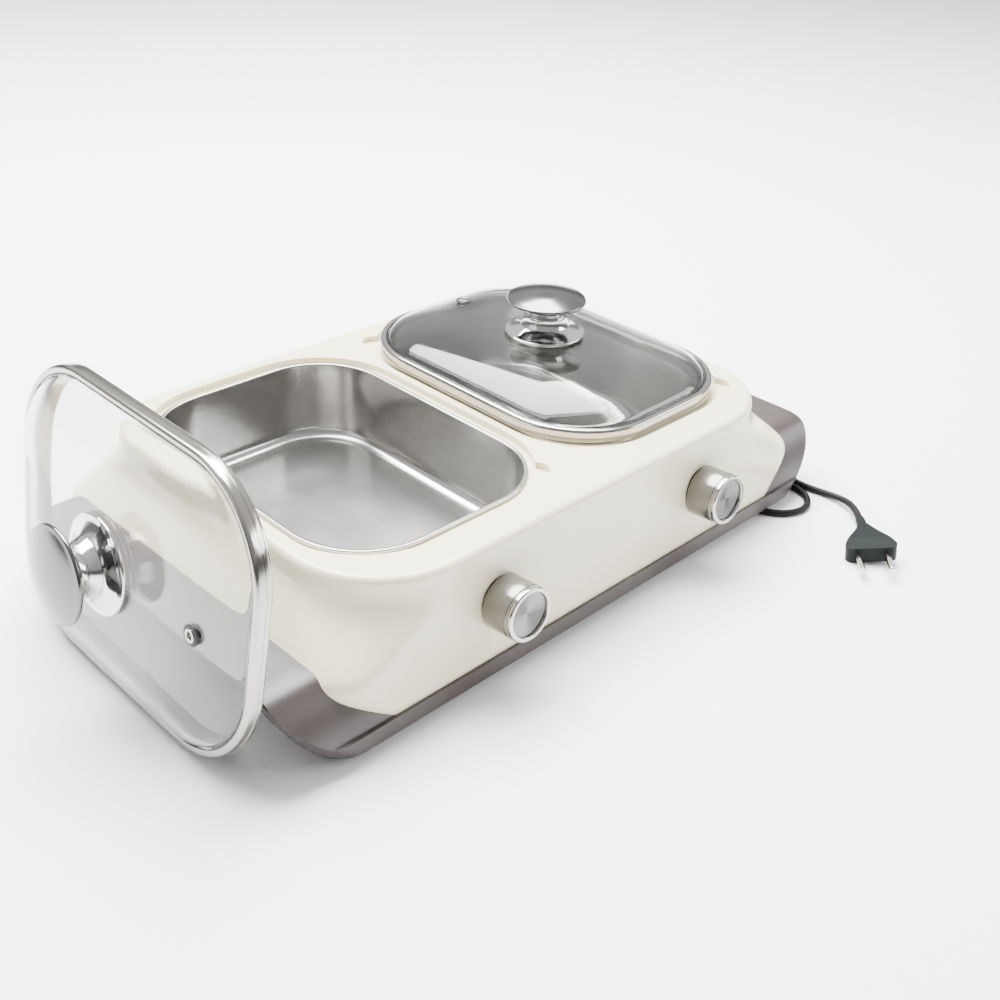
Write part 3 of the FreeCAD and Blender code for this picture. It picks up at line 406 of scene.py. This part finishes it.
def make_materials():
    return {
        "ivory_plastic": moulded("ivory_plastic", (0.80, 0.735, 0.53), 0.24, 0.3, 900.0, 0.02,
                                 0.012, coat_rough=0.08),
        "taupe_plastic": moulded("taupe_plastic", (0.037, 0.028, 0.027), 0.38, 0.08, 1500.0, 0.12,
                                 coat_rough=0.2),
        "galvanised_sheet": brushed_metal("galvanised_sheet", (0.55, 0.56, 0.57), 0.42, (40, 40, 40)),
        "dark_rubber": moulded("dark_rubber", (0.014, 0.014, 0.015), 0.55, 0.0, 1200.0, 0.2, 0.1),
        "plated_screw": brushed_metal("plated_screw", (0.62, 0.61, 0.59), 0.28, (200, 200, 30)),
        "ceramic": moulded("ceramic", (0.78, 0.75, 0.68), 0.35, 0.3, 700.0, 0.05),
        "black_cord": moulded("black_cord", (0.005, 0.005, 0.005), 0.55, 0.0, 1800.0, 0.15, 0.1,
                              specular=0.15),
        "wire_cover": moulded("wire_cover", (0.48, 0.06, 0.04), 0.4, 0.1, 900.0, 0.05),
        "black_plug": moulded("black_plug", (0.004, 0.006, 0.006), 0.5, 0.0, 1500.0, 0.12, 0.08,
                              specular=0.12),
        "nickel_pin": brushed_metal("nickel_pin", (0.74, 0.71, 0.66), 0.16, (30, 30, 300)),
        "liner_aluminium": brushed_metal("liner_aluminium", (0.66, 0.67, 0.68), 0.35, (30, 30, 400)),
        "element_steel": brushed_metal("element_steel", (0.36, 0.34, 0.32), 0.38, (200, 30, 200)),
        "insulation": woven_mat("insulation"),
        "thermostat_case": moulded("thermostat_case", (0.03, 0.028, 0.028), 0.5, 0.0, 900.0, 0.1),
        "pan_steel": brushed_metal("pan_steel", (0.50, 0.49, 0.475), 0.20, (260, 18, 260), 0.05),
        "knob_grey": moulded("knob_grey", (0.165, 0.162, 0.15), 0.22, 0.3, 900.0, 0.02, 0.02,
                             metal=0.75, coat_rough=0.08),
        "bright_ring": spun_metal("bright_ring", (0.46, 0.45, 0.43), 0.12, 2600.0),
        # The dish's colour gets painted shade: two darker wedges, at 0.4 of its tone, stand in for light on spun
        # metal.
        "spun_face": spun_metal("spun_face", (0.19, 0.187, 0.184), 0.26, 2200.0, brushed=0.85,
                                painted_shade_level=0.4),
        "lid_glass": clear_glass("lid_glass"),
        "lid_band": brushed_metal("lid_band", (0.44, 0.42, 0.39), 0.14, (60, 60, 500), 0.04),
        "lid_knob_steel": spun_metal("lid_knob_steel", (0.68, 0.68, 0.675), 0.07, 900.0),
        # The cap's steel is painted much darker than the neck's 0.68: painted shade standing in for the dark
        # reflections on its satin top.
        "lid_knob_cap_steel": spun_metal("lid_knob_cap_steel", (0.15, 0.15, 0.15), 0.14, 1500.0,
                                         brushed=0.5),
    }


# ---- lids ------------------------------------------------------------------------------
GLASS = 3.6
DOME_RISE = 15.9
DOME_REACH = 60.0
GLASS_SIZE = (84.2, 114.4, 59.2)
DOME_INSET = 3.4
LID_SIZE = (86.5, 116.7, 61.5)
LID_HALF_HEIGHT = 4.6
LID_SLEEVE_DEPTH = 10.0
LID_KNOB_LOW = 42.0            # underside of the cap above the rim plane
LID_KNOB_RADIUS = 27.8
LID_NECK_RADIUS = 17.4
LID_FLANGE_HEIGHT = 6.6
LID_CAP_RISE = 4.6             # of the dome on the cap
VENT_OFFSET = 83.0
VENT_HEIGHT = GLASS + 12.3
WASHER_MIDDLE = GLASS + DOME_RISE + 0.5


def middle_of(node):
    low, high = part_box(node)
    return (low + high) / 2


def lid_place(side):
    """Axes of a lid, from its washer and its knob cap: Z to the knob, Y its long side."""
    washer = middle_of("lid_knob_washer_" + side)
    outward = (middle_of("lid_knob_cap_" + side) - washer).normalized()
    along = Vector((0, 1, 0))
    across = along.cross(outward)
    origin = washer - outward * WASHER_MIDDLE * MM
    return Matrix.Translation(origin) @ Matrix((across, along, outward)).transposed().to_4x4()


def dome_height(step):
    share = min(step / DOME_REACH, 1.0)
    return DOME_RISE * (1 - (1 - share) ** 2.4) ** 0.62


def add_lid_pane(side, materials, place):
    """The glass: a flat edge under the band, then a low dome on both faces."""
    steps = [0.0, 0.25, 0.7, 1.4, 2.5, 4.0, 6.0, 9.0, 13.0, 18.0, 24.0, 31.0, 39.0, 48.0, 57.0, 66.0]
    upper = [(0.3, 0.05), (0.0, 0.4), (0.0, GLASS - 0.4), (0.3, GLASS)]
    upper += [(DOME_INSET + step, GLASS + dome_height(step)) for step in steps]
    lower = [(DOME_INSET + step + 2.2, dome_height(step)) for step in reversed(steps)]
    mesh = skinned_mesh("pane", GLASS_SIZE, upper, lower)
    piece = finish_piece("lid_pane_" + side, mesh, "lid_" + side, materials["lid_glass"],
                         place, 60.0)
    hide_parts("lid_glass_" + side)


def add_lid_bands(side, materials, place):
    """A rolled bead with a fine groove, its lip over the glass, and the locating flange."""
    top = LID_HALF_HEIGHT
    bead = arc((2.2, top - 2.2), 2.2, 180, 90, 8)
    bead += [(3.6, top), (4.2, top - 0.25), (4.4, top - 0.8), (2.1, top - 0.85), (2.1, -0.15),
             (6.5, -0.15), (6.5, -3.9)]
    bead += arc((5.9, -4.0), 0.6, 0, -90, 4)
    bead += arc((1.2, -3.4), 1.2, -90, -180, 5)
    bead += [(0.0, -1.5), (0.35, -1.3), (0.35, -0.8), (0.0, -0.6)]
    flange = [(7.0, -0.2), (7.0, 0.6 - LID_SLEEVE_DEPTH)]
    flange += arc((7.65, 0.65 - LID_SLEEVE_DEPTH), 0.65, 180, 360, 6) + [(8.3, -0.2)]
    for name, outline in (("lid_band_", bead), ("lid_sleeve_", flange)):
        mesh = lofted_mesh(name, LID_SIZE, outline)
        piece = finish_piece(name + side, mesh, "lid_" + side, materials["lid_band"],
                             place, 40.0)
        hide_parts("lid_rim_" + side)


def bell(start, end, bow, count=10):
    """Points from start to end of an outline, drawn aside by bow in the middle."""
    points = []
    for step in range(count + 1):
        share = step / count
        pull = 4 * share * (1 - share) * bow
        points.append((start[0] + (end[0] - start[0]) * share + pull,
                       start[1] + (end[1] - start[1]) * share))
    return points


def add_lid_knob(side, materials, place):
    """Bell-shaped plate, full neck and broad domed cap, each with rounded edges."""
    base = GLASS + DOME_RISE + 1.0
    neck_low = base + LID_FLANGE_HEIGHT
    plate = [(3.0, base), (26.9, base)] + arc((27.4, base + 0.95), 0.95, -90, 80, 8)
    plate += [(26.3, base + 2.0)] + bell((24.8, base + 2.25), (LID_NECK_RADIUS, neck_low), -0.9)
    plate += [(3.0, neck_low)]
    neck = [(3.0, neck_low + 0.05), (LID_NECK_RADIUS - 0.3, neck_low + 0.05)]
    neck += bell((LID_NECK_RADIUS - 0.1, neck_low + 0.3), (LID_NECK_RADIUS - 0.1, LID_KNOB_LOW - 0.2),
                 -2.2, 14)
    neck += [(3.0, LID_KNOB_LOW - 0.2)]
    low, edge = LID_KNOB_LOW, LID_KNOB_RADIUS
    cap = [(0.0, low), (LID_NECK_RADIUS, low), (20.0, low + 0.12), (23.0, low + 0.55),
           (25.4, low + 1.15)]
    cap += arc((edge - 1.5, low + 2.75), 1.5, -55, 55, 8)
    reach = edge - 0.9
    sphere = reach ** 2 / (2 * LID_CAP_RISE) + LID_CAP_RISE / 2
    for step in range(14):
        at = reach * (1 - step / 13)
        cap.append((at, low + 8.6 - sphere + math.sqrt(sphere ** 2 - at ** 2)))
    for name, outline, node in (("lid_plate_", plate, "lid_knob_flange_"),
                                ("lid_neck_", neck, "lid_knob_neck_"),
                                ("lid_cap_", cap, "lid_knob_cap_")):
        # The cap takes the darker steel, whose colour carries painted shade for its reflections.
        slot = "lid_knob_cap_steel" if name == "lid_cap_" else "lid_knob_steel"
        piece = finish_piece(name + side, turned_mesh(name, outline), "lid_" + side,
                             materials[slot], place, 40.0)
        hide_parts(node + side)


def add_lid_vent(side, turn, materials, place):
    """A soft grommet with a rolled lip, and the eyelet in it."""
    here = place @ Matrix.Translation(metres((0, turn * VENT_OFFSET, VENT_HEIGHT)))
    lip = [(3.2, -4.4)] + arc((4.9, -3.9), 0.6, -90, 60, 5) + [(4.4, -3.3), (4.4, 0.3)]
    lip += arc((5.0, 1.1), 1.0, -60, 100, 8) + [(4.3, 1.9), (3.2, 1.6)]
    ring = [(2.1, -4.8), (3.0, -4.8), (3.0, 1.7), (3.6, 1.85)] + arc((3.5, 2.15), 0.35, -60, 110, 6)
    ring += arc((2.6, 2.0), 0.5, 90, 180, 5)
    for name, outline, node, slot in (("vent_lip_", lip, "lid_vent_grommet_", "dark_rubber"),
                                      ("vent_ring_", ring, "lid_vent_eyelet_", "bright_ring")):
        piece = finish_piece(name + side, turned_mesh(name, outline), "lid_" + side,
                             materials[slot], here, 45.0)
        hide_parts(node + side)


# ---- pans ------------------------------------------------------------------------------
PAN_RIM = (83.4, 114.3, 52.1)
PAN_MOUTH = 3.05               # inset of the pan's mouth from the outside of its rim
PAN_WALL = 0.8
PAN_TOP = 91.5
PAN_BOTTOM = 34.0
PAN_SCOOP = 9.0                # radius between wall and floor


def add_pan(side, materials):
    """A drawn pan: rolled rim, upright wall, radiused and slightly crowned floor."""
    centre = middle_of("pan_" + side)
    mouth, top, low = PAN_MOUTH, PAN_TOP, PAN_BOTTOM
    inner = [(0.7, top - 2.75), (0.15, top - 2.4)] + arc((1.0, top - 1.0), 1.0, 180, 90, 6)
    inner += [(1.6, top - 0.15)] + arc((mouth - 1.1, top - 1.2), 1.1, 80, 0, 6)
    inner += [(mouth, top - 14), (mouth + 0.1, low + 24), (mouth + 0.2, low + 12)]
    inner += arc((mouth + 8.6, low + PAN_SCOOP), 8.2, 180, 270, 8)
    inner += [(mouth + 20, low + 0.85), (mouth + 50, low + 1.2)]
    outer = [(mouth + 50, low + 0.3), (mouth + 12, low)]
    outer += arc((mouth + 8.4, low + PAN_SCOOP), PAN_SCOOP, 270, 180, 8)
    outer += [(mouth - PAN_WALL, top - 14), (mouth - PAN_WALL, top - 2.4),
              (mouth - 1.2, top - 1.4), (1.4, top - 1.2), (1.0, top - 2.0), (0.9, top - 2.75)]
    mesh = skinned_mesh("pan_shell", PAN_RIM, inner, outer)
    piece = finish_piece("pan_shell_" + side, mesh, "pan_" + side, materials["pan_steel"],
                         Matrix.Translation((centre[0], centre[1], 0)), 50.0)
    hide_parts("pan_" + side)


# ---- control knobs ---------------------------------------------------------------------
KNOB_RADIUS = 17.0
KNOB_LENGTH = 23.5
KNOB_RING_DEPTH = 3.8
KNOB_FACE_RADIUS = 13.6


def knob_place(side):
    joint = next(j for j in frame["joints"] if j["name"] == "turn_knob_" + side)
    outward = Vector(joint["axis"]).normalized()
    across = Vector((1, 0, 0))
    upward = outward.cross(across)
    turn = Matrix((across, upward, outward)).transposed().to_4x4()
    return Matrix.Translation(Vector(joint["pos_m"])) @ turn


def add_knob(side, materials):
    """A straight grip, a bright grooved ring and a dished face with circular turning marks."""
    place = knob_place(side)
    body = "control_knob_" + side
    top = KNOB_LENGTH - KNOB_RING_DEPTH
    grip = [(10.0, 5.0), (10.0, 1.3)] + arc((KNOB_RADIUS - 0.6, 1.9), 0.6, -90, 0, 4)
    grip += arc((KNOB_RADIUS - 0.5, top - 0.5), 0.5, 0, 90, 4) + [(3.0, top), (3.0, 5.0)]
    edge = KNOB_RADIUS - 0.2
    ring = [(KNOB_FACE_RADIUS, top), (edge - 0.5, top)] + arc((edge - 0.3, top + 0.4), 0.3, -90, 0, 3)
    ring += [(edge, top + 1.0), (edge - 0.55, top + 1.15), (edge - 0.55, top + 1.5), (edge, top + 1.65)]
    ring += arc((edge - 1.1, KNOB_LENGTH - 1.1), 1.1, 0, 90, 7)
    ring += arc((14.6, KNOB_LENGTH - 0.7), 0.7, 90, 170, 5) + [(13.7, top + 1.6)]
    face = [(0.0, top), (KNOB_FACE_RADIUS, top), (KNOB_FACE_RADIUS, top + 1.9)]
    for step in range(1, 15):
        share = 1 - step / 14
        face.append((KNOB_FACE_RADIUS * share, top + 0.6 + 1.3 * share ** 2.2))
    for name, outline, node, slot in (("grip_", grip, "knob_body_", "knob_grey"),
                                      ("trim_", ring, "knob_ring_", "bright_ring"),
                                      ("face_", face, "knob_dish_", "spun_face")):
        piece = finish_piece("knob_" + name + side, turned_mesh(name, outline), body,
                             materials[slot], place, 40.0)
        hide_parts(node + side)


# ---- pieces on the lead ----------------------------------------------------------------
def add_strain_relief(materials):
    """A tapered sleeve with cross ribs where the lead leaves the back wall."""
    low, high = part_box("cord_gland")
    outline = [(2.5, 0.4), (8.6, 0.4)] + arc((7.8, 1.6), 0.9, -60, 80, 5) + [(6.4, 3.2)]
    for rib in range(GLAND_RIBS):
        start = 4.6 + rib * 3.3
        taper = 6.2 - 2.5 * rib / GLAND_RIBS
        outline += [(taper - 0.75, start - 0.5), (taper, start), (taper - 0.1, start + 1.5),
                    (taper - 0.85, start + 1.9)]
    outline += [(3.6, GLAND_LENGTH - 0.8), (3.2, GLAND_LENGTH), (2.5, GLAND_LENGTH)]
    mouth = Vector(((low[0] + high[0]) / 2, high[1] - GLAND_LENGTH * MM, (low[2] + high[2]) / 2))
    turn = Matrix((Vector((1, 0, 0)), Vector((0, 0, -1)), Vector((0, 1, 0)))).transposed().to_4x4()
    piece = finish_piece("strain_relief", turned_mesh("strain_relief", outline), "server",
                         materials["black_plug"], Matrix.Translation(mouth) @ turn)
    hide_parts("cord_gland")


# ---- surroundings ----------------------------------------------------------------------
SKY_BRIGHT_SIDE = (0.55, 0.62, 0.56)
SKY_STRENGTH = (0.5, 1.2)      # away from the bright side, and at it
SKY_BAND = ((0.01, 0.9), (0.05, 0.32), (0.2, 0.36), (0.34, 1.0))   # height, tone
FLOOR_HALF = 6.0               # metres


def add_floor():
    bm = bmesh.new()
    bmesh.ops.create_grid(bm, x_segments=4, y_segments=4, size=FLOOR_HALF)
    mesh = bpy.data.meshes.new("floor")
    bm.to_mesh(mesh)
    bm.free()
    material, tree, shader = new_material("floor", (0.93, 0.93, 0.93), rough=0.6)
    mottle = noise(tree, stretched(tree, (1, 1, 1)), 1.5)
    tone = ramp(tree, mottle, (0.92, 0.92, 0.92), (0.94, 0.94, 0.94))
    tree.links.new(tone, shader.inputs["Base Color"])
    mesh.materials.append(material)
    floor = bpy.data.objects.new("floor", mesh)
    bpy.context.scene.collection.objects.link(floor)


def add_light(name, place, target, size, power):
    data = bpy.data.lights.new(name, "AREA")
    data.shape = "RECTANGLE"
    data.size, data.size_y = size
    data.energy = power
    light = bpy.data.objects.new(name, data)
    light.location = place
    light.rotation_euler = (Vector(target) - Vector(place)).to_track_quat("-Z", "Y").to_euler()
    bpy.context.scene.collection.objects.link(light)


def add_sky():
    """A studio for reflections: brightest behind and to the right, with a dim band low down."""
    world = bpy.data.worlds.new("world")
    world.use_nodes = True
    tree = world.node_tree
    direction = tree.nodes.new("ShaderNodeTexCoord").outputs["Generated"]
    facing = tree.nodes.new("ShaderNodeVectorMath")
    facing.operation = "DOT_PRODUCT"
    facing.inputs[1].default_value = SKY_BRIGHT_SIDE
    tree.links.new(direction, facing.inputs[0])
    level = tree.nodes.new("ShaderNodeMapRange")
    level.inputs["From Min"].default_value, level.inputs["From Max"].default_value = -0.3, 0.9
    level.inputs["To Min"].default_value, level.inputs["To Max"].default_value = SKY_STRENGTH
    tree.links.new(facing.outputs["Value"], level.inputs["Value"])
    height = tree.nodes.new("ShaderNodeSeparateXYZ")
    tree.links.new(direction, height.inputs["Vector"])
    band = tree.nodes.new("ShaderNodeValToRGB")
    tree.links.new(height.outputs["Z"], band.inputs["Fac"])
    stops = band.color_ramp.elements
    for place, tone in SKY_BAND:
        stop = stops.new(place)
        stop.color = (tone, tone, tone, 1.0)
    stops.remove(stops[0])
    stops.remove(stops[len(stops) - 1])
    background = tree.nodes["Background"]
    tree.links.new(band.outputs["Color"], background.inputs["Color"])
    tree.links.new(level.outputs["Result"], background.inputs["Strength"])
    bpy.context.scene.world = world


def add_surroundings():
    add_floor()
    add_light("overhead", (0.2, 0.7, 1.7), (0, 0, 0), (1.9, 1.3), 290.0)
    add_light("left", (-1.7, 0.6, 1.0), (0, 0, 0.05), (1.3, 1.0), 4.0)
    add_light("front", (1.6, -1.4, 1.0), (0, 0, 0.05), (1.6, 0.7), 36.0)
    add_sky()


# ---- the whole scene -------------------------------------------------------------------
def dress_nodes(materials):
    """Every carried-over CAD node takes the material of its slot."""
    for part in frame["record"]["subparts"]:
        node = frame["nodes"][part["node"]]
        material = materials[part["material_slot"]]
        if not node.material_slots:
            node.data.materials.append(material)
        for slot in node.material_slots:
            slot.material = material


def main():
    add_camera()
    cord, route = add_cord()
    materials = make_materials()
    cord.data.materials.append(materials["black_cord"])
    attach(cord, "server")
    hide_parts("cord_tail", "cord_coil", "cord_lead")
    dress_nodes(materials)
    for side, turn in (("left", -1), ("right", 1)):
        place = lid_place(side)
        add_lid_pane(side, materials, place)
        add_lid_bands(side, materials, place)
        add_lid_knob(side, materials, place)
        add_lid_vent(side, turn, materials, place)
        add_pan(side, materials)
        add_knob(side, materials)
    add_strain_relief(materials)
    add_surroundings()
    bpy.context.view_layer.update()


main()
